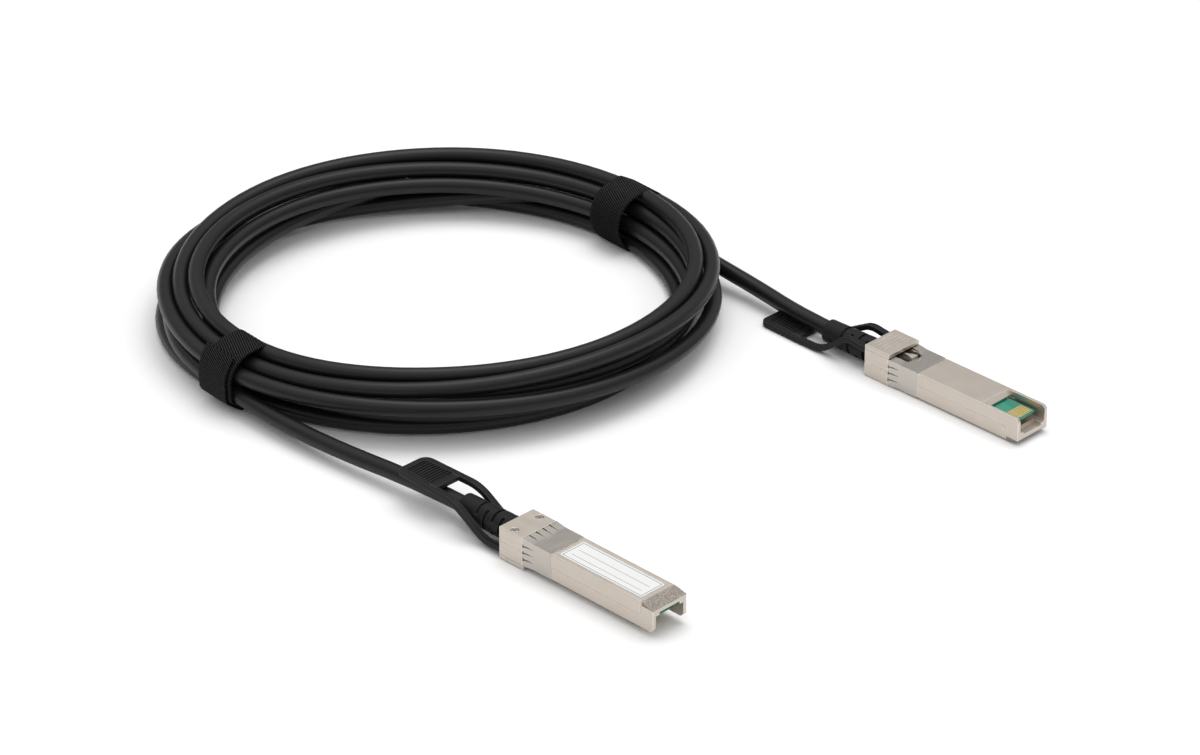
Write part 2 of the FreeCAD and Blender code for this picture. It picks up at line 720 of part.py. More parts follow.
# ---------------------------------------------------------------- coil, leads and straps
def bundle_section(radius, extra):
    """Upright section of the bundle at a radius: an oval of flats, flat underneath."""
    half = bundle_width / 2 + extra
    side = (bundle_height - bundle_width) / 2
    corners = []
    for count in range(bundle_sides):
        turn = 2 * math.pi * (count + 0.5) / bundle_sides
        across = half * math.cos(turn) / math.cos(math.pi / bundle_sides)
        up = half * math.sin(turn) / math.cos(math.pi / bundle_sides)
        corners.append(vec(radius + across, 0, up + math.copysign(side, up)))
    return Part.Face(Part.makePolygon(corners + corners[:1]))


def bundle(extra=0.0):
    """Ring along the coil's middle line, an oval of four arcs, grown by extra all round."""
    half_turn = math.degrees(math.atan2(coil_side_centre, coil_end_centre))
    arcs = []
    for turn in (0, 180):
        arcs.append((coil_end_radius, coil_end_centre, turn, 2 * half_turn))
        arcs.append((coil_side_radius, -coil_side_centre, turn + 90, 180 - 2 * half_turn))
    pieces = []
    for radius, offset, middle, sweep in arcs:
        way = vec(math.cos(math.radians(middle)), math.sin(math.radians(middle)), 0)
        piece = bundle_section(radius, extra).revolve(vec(0, 0, 0), vec(0, 0, 1), sweep)
        piece.rotate(vec(0, 0, 0), vec(0, 0, 1), middle - sweep / 2)
        pieces.append(piece.translated(way * offset))
    ring = fuse_all(pieces)
    ring.rotate(vec(0, 0, 0), vec(0, 0, 1), coil_turned)
    return ring.translated(vec(coil_x, coil_y, bundle_height / 2))


def lead(route, name, strap_angle):
    """Cable along its route, up to the skin of the coil or the side of the strap."""
    wire = tangent_route(route, report=name)
    section = Part.Wire(Part.makeCircle(cable_diameter / 2, vec(*route[0]), vec(1, 0, 0)))
    tube = wire.makePipeShell([section], True, False)
    area = math.pi * cable_diameter ** 2 / 4
    print(name, "volume over section x length", round(tube.Volume / (area * wire.Length), 4))
    return tube.cut(Part.makeCompound([bundle(), strap_slab(strap_angle)]))


def strap_slab(angle):
    """The space between a strap's two edges, above the table, on its side of the coil."""
    slab = box(0, 2 * coil_long_radius, -strap_width / 2, strap_width / 2, 0, 2 * bundle_height)
    slab.rotate(vec(0, 0, 0), vec(0, 0, 1), angle)
    return slab.translated(vec(coil_x, coil_y, 0))


def strap(angle):
    """Hook-and-loop strap round the bundle, closed on itself and pressed into it."""
    band = bundle(strap_proud).cut(bundle(strap_proud - strap_thickness))
    return band.common(strap_slab(angle))


# ---------------------------------------------------------------- assembly
def plug_parts(bend):
    parts = {
        "base_housing": base_housing(),
        "cover_housing": cover_housing(),
        "latch_cap": latch_cap(),
        "emi_collar": emi_collar(),
        "circuit_card": circuit_card(),
        "contact_pads": contact_pads(),
        "memory_chip": memory_chip(),
        "transmit_pair": wire_pair(-1),
        "receive_pair": wire_pair(1),
        "crimp_ferrule": ferrule(),
        "strain_relief": strain_relief(),
        "release_slider": release_slider(),
        "return_spring": return_spring(),
        "pull_tab": pull_tab(*bend),
        "housing_screws": screws(),
        "label": label(),
    }
    return parts


def turned_over(shape):
    flipped = shape.copy()
    flipped.rotate(vec(0, 0, 0), vec(1, 0, 0), 180)
    return flipped.translated(vec(0, 0, rear_height))


tab_a_bend = (axis_height + tab_above_cable, 2.15, -7.5, 0.0, ((-21.0, -0.01), (-21.0, 0.01)))
tab_b_bend = (rear_height - tab_off_table, 1.5, -8.5, 0.7, ((-23.0, -0.1), (-19.0, 0.5)))

nodes = {}
for name, shape in plug_parts(tab_a_bend).items():
    nodes[name + "_a"] = shape.translated(vec(plug_a_x, -plug_y, 0))
for name, shape in plug_parts(tab_b_bend).items():
    nodes[name + "_b"] = turned_over(shape).translated(vec(plug_b_x, plug_y, 0))
nodes["cable_lead_a"] = lead(lead_a_route, "lead a", strap_a_angle)
nodes["cable_lead_b"] = lead(lead_b_route, "lead b", strap_b_angle)
nodes["strap_a"] = strap(strap_a_angle)
nodes["strap_b"] = strap(strap_b_angle)
nodes["cable_coil"] = bundle().cut(Part.makeCompound([nodes["strap_a"], nodes["strap_b"]]))

os.makedirs("parts", exist_ok=True)
for name, shape in nodes.items():
    print(name, "solids", len(shape.Solids), "valid", shape.isValid(), "volume", round(shape.Volume, 2))
    shape.exportStep("parts/" + name + ".step")
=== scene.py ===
import math

import bpy
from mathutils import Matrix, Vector


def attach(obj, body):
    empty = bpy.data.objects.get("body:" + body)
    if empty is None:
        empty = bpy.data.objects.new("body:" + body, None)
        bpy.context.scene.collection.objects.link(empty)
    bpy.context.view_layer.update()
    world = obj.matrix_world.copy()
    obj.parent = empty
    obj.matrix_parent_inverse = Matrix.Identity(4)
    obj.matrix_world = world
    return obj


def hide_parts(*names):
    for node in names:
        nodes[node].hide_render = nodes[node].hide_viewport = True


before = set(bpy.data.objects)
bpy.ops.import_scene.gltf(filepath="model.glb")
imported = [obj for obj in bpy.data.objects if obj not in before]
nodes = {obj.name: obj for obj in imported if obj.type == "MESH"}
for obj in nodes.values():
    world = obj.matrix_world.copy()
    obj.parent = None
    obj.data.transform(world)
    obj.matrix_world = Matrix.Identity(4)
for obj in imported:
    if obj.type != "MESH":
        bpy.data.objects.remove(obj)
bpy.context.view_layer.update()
ends = ("a", "b")
bpy.ops.object.select_all(action="DESELECT")


# ---------------------------------------------------------------- circuit cards
# A glass-fibre card in each connector, under green solder resist with copper tracks showing
# through it, and a small black memory chip soldered on its upper face.
class Signal:
    """A socket in a finish's node tree. Sums and products on it add the nodes that do them."""

    def __init__(self, tree, socket=None):
        self.tree = tree
        self.socket = socket

    def node(self, kind, settings=None, sockets=None, out=0):
        made = self.tree.nodes.new("ShaderNode" + kind)
        for name, value in (settings or {}).items():
            setattr(made, name, value)
        for name, value in (sockets or {}).items():
            target = made.inputs[name]
            if isinstance(value, Signal):
                self.tree.links.new(value.socket, target)
            else:
                target.default_value = value
        return Signal(self.tree, made.outputs[out])

    def maths(self, operation, *values):
        return self.node("Math", {"operation": operation}, dict(enumerate(values)))

    def __add__(self, other):
        return self.maths("ADD", self, other)

    def __sub__(self, other):
        return self.maths("SUBTRACT", self, other)

    def __rsub__(self, other):
        return self.maths("SUBTRACT", other, self)

    def __mul__(self, other):
        return self.maths("MULTIPLY", self, other)

    __radd__ = __add__
    __rmul__ = __mul__

    def over(self, low, high):
        """0 below the low value, 1 above the high one, smooth between."""
        return self.node("MapRange", {"interpolation_type": "SMOOTHSTEP"},
                         {"Value": self, "From Min": low, "From Max": high})

    def wave(self, pitch):
        """A sine from 0 to 1 that repeats at a pitch."""
        return 0.5 + 0.5 * self.maths("SINE", self * (2 * math.pi / pitch))


def new_finish(name):
    """A material, the start of its node tree, and its shader."""
    material = bpy.data.materials.new(name)
    material.use_nodes = True
    return material, Signal(material.node_tree), material.node_tree.nodes["Principled BSDF"]


def plug_in(start, shader, **sockets):
    """Sets or links the shader's sockets; an underscore stands for the space in a name."""
    for name, value in sockets.items():
        target = shader.inputs[name.replace("_", " ")]
        if isinstance(value, Signal):
            start.tree.links.new(value.socket, target)
        else:
            target.default_value = value


def place_in(start, axis):
    """The object's own x, y or z, in metres."""
    where = start.node("TexCoord", out="Object")
    return start.node("SeparateXYZ", None, {"Vector": where}, axis)


def grain(start, size, detail=3.0, roughness=0.55, stretch=None):
    """Noise with lumps about that many metres across, drawn out along axes by a stretch."""
    where = start.node("TexCoord", out="Object")
    if stretch:
        where = start.node("Mapping", None, {"Vector": where, "Scale": stretch})
    return start.node("TexNoise", None, {"Vector": where, "Scale": 1.0 / size, "Detail": detail,
                                         "Roughness": roughness})


def tint(signal, first, second):
    """A colour between two, by a signal from 0 to 1; the first may be a tint already."""
    under = first if isinstance(first, Signal) else (*first, 1)
    return signal.node("Mix", {"data_type": "RGBA"}, {0: signal, 6: under, 7: (*second, 1)}, 2)


def relief(start, height, depth, strength=1.0, soften=0.0):
    """A bumped normal, over edges that are softened by a radius."""
    sockets = {"Height": height, "Distance": depth, "Strength": strength}
    if soften:
        sockets["Normal"] = start.node("Bevel", {"samples": 6}, {"Radius": soften})
    return start.node("Bump", None, sockets)


def edges(start, radius):
    """1 on sharp edges within a radius, 0 on the flats."""
    soft = start.node("Bevel", {"samples": 6}, {"Radius": radius})
    true = start.node("NewGeometry", out="Normal")
    even = start.node("VectorMath", {"operation": "DOT_PRODUCT"}, {0: soft, 1: true}, "Value")
    return (1 - even).over(0.01, 0.16)


def coat(material, *names, at=ends):
    """Puts a finish on CAD nodes, on the node of that name in each connector or in one."""
    for name in names:
        for end in at:
            for slot in nodes[name + "_" + end].material_slots:
                slot.material = material


TRACK_PITCH = 0.00045

resist, start, shader = new_finish("solder_resist")
across = place_in(start, "Y")
broken = grain(start, 0.004, 1, stretch=(0.2, 1, 1)).over(0.45, 0.5)
tracks = across.wave(TRACK_PITCH).over(0.62, 0.72) * broken
plug_in(start, shader, Base_Color=tint(tracks, (0.012, 0.235, 0.150), (0.035, 0.36, 0.235)),
        Roughness=0.30 + 0.12 * grain(start, 0.0007), Coat_Weight=0.5, Coat_Roughness=0.12,
        Normal=relief(start, tracks, 0.00003, 0.8))
coat(resist, "circuit_card")

moulding, start, shader = new_finish("chip_moulding")
plug_in(start, shader,
        Base_Color=tint(grain(start, 0.0004), (0.012, 0.012, 0.013), (0.030, 0.030, 0.032)),
        Roughness=0.62, Normal=relief(start, grain(start, 0.00008), 0.00001))
coat(moulding, "memory_chip")


# ---------------------------------------------------------------- contact fingers
# Hard gold over nickel on the card's front edge, rubbed a little paler by the port's springs.
gold, start, shader = new_finish("contact_gold")
rub = grain(start, 0.0012, 4, 0.6, stretch=(0.25, 3, 1))
plug_in(start, shader, Metallic=0.95,
        Base_Color=tint(rub, (0.86, 0.52, 0.15), (0.98, 0.74, 0.33)),
        Roughness=0.32 + 0.2 * rub, Normal=relief(start, rub, 0.00001))
coat(gold, "contact_pads")


# ---------------------------------------------------------------- shielded pairs and ferrules
# Each pair of wires is wrapped in crinkled foil; a drawn metal sleeve is crimped round the
# cable's end and sits in the castings.
foil, start, shader = new_finish("pair_foil")
crinkle = grain(start, 0.0016, 5, 0.7)
plug_in(start, shader, Metallic=1.0,
        Base_Color=tint(crinkle, (0.55, 0.56, 0.58), (0.80, 0.80, 0.81)),
        Roughness=0.24 + 0.2 * crinkle, Normal=relief(start, crinkle, 0.0002))
coat(foil, "transmit_pair", "receive_pair")

sleeve, start, shader = new_finish("ferrule_metal")
drawn = grain(start, 0.0006, 2, stretch=(0.05, 1, 1))
plug_in(start, shader, Metallic=1.0,
        Base_Color=tint(drawn, (0.50, 0.49, 0.46), (0.66, 0.64, 0.60)),
        Roughness=0.30 + 0.18 * drawn, Normal=relief(start, drawn, 0.00002))
coat(sleeve, "crimp_ferrule")


# ---------------------------------------------------------------- castings
# Base, cover and latch cap are die-cast zinc under satin nickel plate: a warm grey, paler at the
# edges, partly where they are rubbed and partly as a painted highlight, with the raw grain of the
# die left on the slope of the nose.
RUBBED_AND_HIGHLIT_WIDTH = 0.00050             # how far in from an edge the plate is coloured paler, partly rubbed wear, partly painted highlight
STEP_BLEND = 0.0002                # over which the raw grain of the nose sets in


def nickel(name, nose_start, nose_above, turned):
    """The plate of one connector; raw in front of nose_start (x) and above nose_above (up)."""
    material, start, shader = new_finish(name)
    cloud = grain(start, 0.006, 3)
    pores = grain(start, 0.00022, 2, 0.6)
    height = place_in(start, "Z") * (-1 if turned else 1)
    forward = place_in(start, "X").over(nose_start, nose_start + STEP_BLEND)
    slope = forward * height.over(nose_above, nose_above + STEP_BLEND)
    raw = grain(start, 0.0005, 4, 0.75)
    # Edges are coloured near white: partly rubbed wear, partly a painted highlight along each
    # edge.
    rubbed_and_highlit = edges(start, RUBBED_AND_HIGHLIT_WIDTH) * (0.7 + 0.3 * grain(start, 0.003, 4, 0.7))
    plate = tint(cloud, (0.610, 0.548, 0.482), (0.680, 0.614, 0.547))
    worn_and_highlit = tint(rubbed_and_highlit, plate, (0.98, 0.94, 0.88))
    dulled = tint(slope * (0.50 + 0.45 * raw.over(0.38, 0.62)), worn_and_highlit, (0.19, 0.172, 0.152))
    scratch = grain(start, 0.0011, 3, 0.6, stretch=(0.12, 2.5, 2.5))
    rough = 0.33 + 0.09 * cloud + 0.10 * scratch + 0.16 * slope - 0.10 * rubbed_and_highlit
    bumps = 0.25 * pores + 0.2 * scratch + slope * raw * 1.4
    plug_in(start, shader, Base_Color=dulled, Metallic=0.92, Roughness=rough,
            Normal=relief(start, bumps, 0.00006, 0.8, 0.00016))
    return material


cast_a = nickel("nickel_plate_a", nose_start=0.0474, nose_above=0.0090, turned=False)
cast_b = nickel("nickel_plate_b", nose_start=0.0494, nose_above=-0.0017, turned=True)
for end, plate in zip(ends, (cast_a, cast_b)):
    coat(plate, "base_housing", "cover_housing", "latch_cap", at=(end,))


# ---------------------------------------------------------------- spring collars
# A collar of thin plated spring sheet is folded round each connector; its rear is slit into
# fingers that press on the port. It is smoother and a little brighter than the castings.
sheet_metal, start, shader = new_finish("collar_sheet")
rolled = grain(start, 0.0012, 3, 0.6, stretch=(1, 0.15, 0.15))
# Edges are coloured near white: partly rubbed wear, partly a painted highlight along each edge.
rubbed_and_highlit = edges(start, 0.00015)
plate = tint(rolled, (0.50, 0.465, 0.425), (0.59, 0.55, 0.51))
plug_in(start, shader, Base_Color=tint(rubbed_and_highlit, plate, (0.95, 0.93, 0.89)),
        Metallic=0.95, Roughness=0.26 + 0.14 * rolled,
        Normal=relief(start, rolled, 0.00002, 0.7, 0.0001))
coat(sheet_metal, "emi_collar")


# ---------------------------------------------------------------- release sliders and springs
# A stamped fork with a dark oxide finish slides under the latch cap, and a small coil spring of
# hard-drawn wire brings it back.
oxide, start, shader = new_finish("slider_oxide")
wipe = grain(start, 0.0014, 4, 0.65, stretch=(0.3, 1, 1))
plug_in(start, shader, Metallic=0.85,
        Base_Color=tint(wipe.over(0.5, 0.8), (0.035, 0.032, 0.030), (0.16, 0.145, 0.13)),
        Roughness=0.36 + 0.2 * wipe, Normal=relief(start, wipe, 0.00003, 0.8, 0.0001))
coat(oxide, "release_slider")

wire, start, shader = new_finish("spring_wire")
plug_in(start, shader, Metallic=1.0,
        Base_Color=tint(grain(start, 0.0003), (0.34, 0.34, 0.35), (0.52, 0.51, 0.50)),
        Roughness=0.32, Normal=relief(start, grain(start, 0.0001), 0.00001))
coat(wire, "return_spring")


# ---------------------------------------------------------------- screws
# Two small cross-head steel screws hold each pair of castings; their heads are bright, with the
# marks of turning round them.
screw, start, shader = new_finish("screw_steel")
turned = grain(start, 0.0004, 3)
# Edges are coloured near white: partly rubbed wear, partly a painted highlight along each edge.
rubbed_and_highlit = edges(start, 0.00012)
plate = tint(turned, (0.52, 0.49, 0.45), (0.70, 0.67, 0.62))
plug_in(start, shader, Base_Color=tint(rubbed_and_highlit, plate, (0.96, 0.94, 0.90)),
        Metallic=1.0, Roughness=0.2 + 0.15 * turned,
        Normal=relief(start, turned, 0.00002, 0.6, 0.00008))
coat(screw, "housing_screws")


# ---------------------------------------------------------------- labels
# A blank white label with rounded corners is stuck in the shallow recess of each cover: coated
# paper with a thin printed frame and two empty ruled lines.
LABEL_START = 0.0227               # from the back of the connector
LABEL_HALF_LENGTH = 0.0164
LABEL_HALF_WIDTH = 0.0049
RULE_PITCH = 0.0030

for end, plug_x, plug_y, upward in (("a", -0.010, -0.0773, 1), ("b", -0.008, 0.0773, -1)):
    paper, start, shader = new_finish("label_paper_" + end)
    fibre = grain(start, 0.0003, 4, 0.7)
    east = place_in(start, "X") - (plug_x + LABEL_START + LABEL_HALF_LENGTH)
    north = place_in(start, "Y") - plug_y
    from_end = LABEL_HALF_LENGTH - east.maths("ABSOLUTE", east)
    from_side = LABEL_HALF_WIDTH - north.maths("ABSOLUTE", north)
    inset = start.maths("MINIMUM", from_end, from_side)
    framed = inset.over(0.00050, 0.00055) * (1 - inset.over(0.00078, 0.00083))
    inside = from_end.over(0.0022, 0.0023)
    lines = (north * upward).wave(RULE_PITCH).over(0.985, 0.992)
    ruled = lines * inside * inset.over(0.0016, 0.0017)
    ink = start.maths("MAXIMUM", framed, ruled) * fibre.over(0.15, 0.3)
    sheet = tint(fibre, (0.79, 0.79, 0.78), (0.86, 0.86, 0.85))
    plug_in(start, shader, Roughness=0.42 + 0.15 * fibre,
            Base_Color=tint(ink, sheet, (0.30, 0.30, 0.31)),
            Normal=relief(start, fibre, 0.00002, 0.4))
    coat(paper, "label", at=(end,))


# ---------------------------------------------------------------- strain-relief boots
# A tapered black boot is moulded over each end of the cable; slots cut half way round, one
# above the other, let it bend. It is matt, with painted shade darkening the slots and a painted
# highlight on its edges.
rubber, start, shader = new_finish("boot_rubber")
cloud = grain(start, 0.004, 3)
pores = grain(start, 0.00025, 2)
# Painted highlight: the edges of the rubber, on the boots and on the tabs' ribs, are coloured
# paler.
painted_rim_highlight = edges(start, 0.0003)
# Painted shade: where ambient occlusion finds the slots closed in, the colour goes nearly black.
open_air = start.node("AmbientOcclusion", {"samples": 6}, {"Distance": 0.0009}, "AO")
painted_slot_shade = 1 - open_air.over(0.25, 0.85)
body = tint(cloud, (0.0095, 0.0091, 0.0094), (0.0165, 0.0158, 0.0162))
body = tint(painted_slot_shade, body, (0.001, 0.001, 0.001))
plug_in(start, shader, Base_Color=tint(painted_rim_highlight, body, (0.075, 0.070, 0.070)),
        Specular_IOR_Level=0.16, Roughness=0.40 + 0.14 * cloud,
        Normal=relief(start, pores, 0.00004, 0.5, 0.0003))
coat(rubber, "strain_relief")


# ---------------------------------------------------------------- pull tabs
# A soft black tab is moulded on the wings of each slider. A band with raised rims runs out along
# one arm, round the finger plate and back along the other arm, and a ribbed web fills the plate.
# Millimetres in a plug's own frame from here on. The band's section is given as (out, up).
BAND = ((-1.1, 0.55), (-1.0, 0.85), (-0.72, 0.85), (-0.55, 0.56), (0.55, 0.56), (0.72, 0.85),
        (1.0, 0.85), (1.1, 0.55), (1.1, -0.55), (1.0, -0.85), (0.72, -0.85), (0.55, -0.56),
        (-0.55, -0.56), (-0.72, -0.85), (-1.0, -0.85), (-1.1, -0.55))
ARM_FRONT = 7.4                    # where the arms end, inside the rear block
ARM_OUT = 5.5
ARM_HEIGHT = 2.4
PLATE_REAR, PLATE_FRONT = -43.5, -28.6
PLATE_OUT = 4.9
RIM = 1.2                          # of the plate, behind the first rib
WEB_END = 2.4                      # the thin web stops this far behind the plate's front
BAR_LENGTH = 3.0                   # solid bar across the plate's front
WEB_HALF, BAR_HALF, RIB_HALF = 0.30, 0.72, 0.84          # half thicknesses
RIBS = 9
RIB_HALF_WIDTH = 0.24
RIB_INSET = 0.9                    # ribs are this much shorter at each side than the plate
RIBS_END = 3.4                     # the last rib stops this far behind the plate's front
CORNER_STEPS = 8


def rounded(corners):
    """Points along straight runs, with each corner rounded off over its own length."""
    points = [Vector(corners[0][:3])]
    for before, (*here, run), after in zip(corners, corners[1:], corners[2:]):
        here = Vector(here)
        into, out = (Vector(place[:3]) - here for place in (before, after))
        first = here + into.normalized() * min(run, into.length * 0.49)
        last = here + out.normalized() * min(run, out.length * 0.49)
        for step in range(CORNER_STEPS + 1):
            share = step / CORNER_STEPS
            points.append(first.lerp(here, share).lerp(here.lerp(last, share), share))
    return points + [Vector(corners[-1][:3])]


def pull_tab(end, height, dip_x, dip, sideways, corners, own_to_world):
    """A band swept out along one arm, round the plate and back, with the web and its ribs.

    The plate lies at a height and sideways of the middle. Each arm dips behind the rear block,
    then turns up at its own corner: (x, how far it is shifted, rounding of the plate's corner).
    """
    sides = []
    for side, (corner_x, shift, rear_run) in zip((-1, 1), corners):
        sides.append([(ARM_FRONT, side * ARM_OUT, ARM_HEIGHT, 0),
                      (-2.0, side * ARM_OUT, ARM_HEIGHT, 2.0),
                      (dip_x, side * ARM_OUT, dip, 2.6),
                      (corner_x, side * ARM_OUT + shift, height, 4.2),
                      (PLATE_FRONT - 0.5, sideways + side * (ARM_OUT - 0.2), height, 2.0),
                      (PLATE_REAR, sideways + side * PLATE_OUT, height, rear_run)])
    path = rounded(sides[0] + sides[1][::-1])
    rings = []
    for before, here, after in zip([path[0]] + path, path, path[1:] + [path[-1]]):
        ahead = (after - before).normalized()
        aside = ahead.cross(Vector((0, 0, 1))).normalized()
        above = aside.cross(ahead)
        rings.append([here + aside * out + above * up for out, up in BAND])
    mesh = bpy.data.meshes.new("pull_tab_" + end)
    points = [point for ring in rings for point in ring]
    count = len(BAND)
    faces = []
    for start_of_ring in range(0, (len(rings) - 1) * count, count):
        for n in range(count):
            here, beside = start_of_ring + n, start_of_ring + (n + 1) % count
            faces.append((here, beside, beside + count, here + count))
    faces += [tuple(range(count))[::-1], tuple(range(len(points) - count, len(points)))]
    mesh.from_pydata(points, [], faces)
    tab = bpy.data.objects.new("soft_tab_" + end, mesh)
    bpy.context.scene.collection.objects.link(tab)

    pitch = (PLATE_FRONT - RIBS_END - PLATE_REAR - RIM) / RIBS
    slabs = [(PLATE_REAR, PLATE_FRONT - WEB_END, PLATE_OUT, WEB_HALF, 0.0),
             (PLATE_FRONT - BAR_LENGTH, PLATE_FRONT, PLATE_OUT, BAR_HALF, 0.25)]
    for number in range(RIBS):
        middle = PLATE_REAR + RIM + pitch * (number + 0.5)
        slabs.append((middle - RIB_HALF_WIDTH, middle + RIB_HALF_WIDTH, PLATE_OUT - RIB_INSET,
                      RIB_HALF, 0.12))
    pieces = [tab]
    for rear, front, out, half, round_off in slabs:
        middle = ((rear + front) / 2, sideways, height)
        bpy.ops.mesh.primitive_cube_add(size=2, location=middle)
        slab = bpy.context.object
        slab.scale = ((front - rear) / 2, out, half)
        bpy.ops.object.transform_apply()
        if round_off:
            soft = slab.modifiers.new("edges", "BEVEL")
            soft.width = round_off
            soft.segments = 3
            bpy.ops.object.modifier_apply(modifier="edges")
        pieces.append(slab)
    bpy.ops.object.select_all(action="DESELECT")
    for piece in pieces:
        piece.select_set(True)
    bpy.context.view_layer.objects.active = tab
    bpy.ops.object.join()
    for vertex in tab.data.vertices:
        vertex.co = own_to_world(vertex.co) / 1000
    bpy.ops.object.mode_set(mode="EDIT")
    bpy.ops.mesh.select_all(action="SELECT")
    bpy.ops.mesh.normals_make_consistent(inside=False)
    bpy.ops.object.mode_set(mode="OBJECT")
    bpy.ops.object.shade_smooth_by_angle(angle=math.radians(38))
    bpy.ops.object.select_all(action="DESELECT")
    tab.data.materials.clear()
    tab.data.materials.append(rubber)
    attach(tab, "release_" + end)
    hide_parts("pull_tab_" + end)


pull_tab("a", height=10.0, dip_x=-7.5, dip=2.15, sideways=0.0,
         corners=((-21.0, -0.01, 0.9), (-21.0, 0.01, 2.4)),
         own_to_world=lambda own: Vector((own.x - 10.0, own.y - 77.3, own.z)))
pull_tab("b", height=9.75, dip_x=-8.5, dip=1.5, sideways=0.7,
         corners=((-23.0, -0.1, 1.7), (-19.0, 0.5, 1.4)),
         own_to_world=lambda own: Vector((own.x - 8.0, 77.3 - own.y, 10.7 - own.z)))


# ---------------------------------------------------------------- cable
# One length of round twin-pair copper cable in a black jacket with a soft sheen. It leaves one
# boot, makes six and a half loose turns and goes into the other boot. Each turn wanders across
# the bundle between the two ties, so none lies on the next for long.
CABLE_DIAMETER = 0.0052
COIL_CENTRE = (-0.127, 0.0025)
POINTS_PER_TURN = 24
STATIONS = 8                       # places round a turn where its lie is set out

way_in = [
    (-0.002, -0.0773, 0.00605),
    (-0.046, -0.0773, 0.00605),
    (-0.080, -0.0810, 0.0050),
    (-0.108, -0.0826, 0.0052),
]
way_out = [
    (-0.104, 0.0835, 0.0082),
    (-0.088, 0.0810, 0.0074),
    (-0.062, 0.0808, 0.0051),
    (-0.038, 0.0773, 0.00465),
    (0.000, 0.0773, 0.00465),
]
# Millimetres: how far outside the bundle's middle line, and how high, at each station. Two rows
# make a turn. Known fault: some strands lie closer than the cable is thick and cut into each
# other, worst by stations 36 and 37, where the lead out runs through the turn instead of over it.
lie_of_turns = [
    (7.4, 7.0), (5.4, 8.9), (3.6, 10.4), (6.1, 13.1),
    (7.8, 14.6), (7.2, 16.7), (2.9, 18.3), (0.7, 16.6),
    (0.7, 14.5), (2.6, 16.2), (3.7, 18.3), (3.9, 18.2),
    (3.1, 17.8), (2.0, 18.3), (-2.6, 18.3), (-5.0, 18.3),
    (-3.9, 17.4), (-2.5, 18.3), (-2.5, 18.3), (-1.4, 15.6),
    (0.0, 13.9), (2.8, 12.4), (0.8, 12.5), (-3.3, 12.5),
    (-5.8, 12.1), (-6.0, 13.0), (-5.5, 13.5), (-5.1, 11.7),
    (-3.2, 9.3), (0.8, 7.5), (0.8, 7.1), (-0.3, 7.6),
    (-3.2, 6.8), (-7.2, 6.4), (-4.3, 7.6), (4.2, 8.1),
    (7.2, 4.4), (8.0, 7.4), (6.8, 10.2), (5.4, 12.7),
    (5.7, 12.6), (7.5, 14.2), (9.0, 9.4), (3.5, 3.0),
    (-1.7, 2.9), (-3.2, 2.7), (-2.2, 2.7), (-1.0, 3.1),
    (1.4, 3.2), (8.8, 3.0), (4.2, 2.9), (-3.0, 5.5),
    (5.0, 9.2),
]
MEAN_RADIUS = 0.07625
OVAL = 0.00275                     # the middle line is this much longer and shorter than round
OVAL_TURNED = math.radians(62)
LOOSENESS = 1.0086                 # the turns lie a little wider than the bundle's middle line


def middle_radius(angle):
    """Radius of the bundle's middle line, slightly longer than wide, at an angle from +X."""
    return MEAN_RADIUS + OVAL * math.cos(2 * (angle - OVAL_TURNED))


def between(before, first, second, after, share):
    """A smooth value part of the way from the first to the second of four."""
    return 0.5 * (2 * first + (second - before) * share
                  + (2 * before - 5 * first + 4 * second - after) * share ** 2
                  + (3 * first - before - 3 * second + after) * share ** 3)


def lie_at(station):
    """How far outside and how high the cable lies, in metres, at a station or between two."""
    last = len(lie_of_turns) - 1
    whole = min(int(station), last - 1)
    four = [lie_of_turns[max(0, min(last, whole + step))] for step in (-1, 0, 1, 2)]
    return [between(*[place[part] for place in four], station - whole) / 1000 for part in (0, 1)]


def coil_point(station):
    """A point of the cable's middle line in the coil; it goes round clockwise from above."""
    angle = -math.pi / 2 - station * 2 * math.pi / STATIONS
    outward, height = lie_at(station)
    radius = middle_radius(angle) * LOOSENESS + outward
    return (COIL_CENTRE[0] + radius * math.cos(angle),
            COIL_CENTRE[1] + radius * math.sin(angle), height)


steps = (len(lie_of_turns) - 1) * POINTS_PER_TURN // STATIONS
turns = [coil_point(step * STATIONS / POINTS_PER_TURN) for step in range(1, steps)]
route = way_in + turns + way_out

curve = bpy.data.curves.new("cable", "CURVE")
curve.dimensions = "3D"
curve.bevel_depth = CABLE_DIAMETER / 2
curve.bevel_resolution = 5
curve.resolution_u = 4
line = curve.splines.new("NURBS")
line.points.add(len(route) - 1)
for point, place in zip(line.points, route):
    point.co = (*place, 1.0)
line.order_u = 3
line.use_endpoint_u = True
cable = bpy.data.objects.new("cable", curve)
bpy.context.scene.collection.objects.link(cable)

jacket, start, shader = new_finish("cable_jacket")
cloud = grain(start, 0.015, 3)
fine = grain(start, 0.0005, 2)
scuff = grain(start, 0.003, 4, 0.7).over(0.60, 0.74)
plug_in(start, shader,
        Base_Color=tint(cloud, (0.0070, 0.0064, 0.0071), (0.0118, 0.0107, 0.0118)),
        Specular_IOR_Level=0.30, Roughness=0.33 + 0.08 * cloud + 0.10 * scuff,
        Normal=relief(start, fine + 0.5 * scuff, 0.00003, 0.4))
curve.materials.append(jacket)
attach(cable, "cable")
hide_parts("cable_coil", "cable_lead_a", "cable_lead_b")


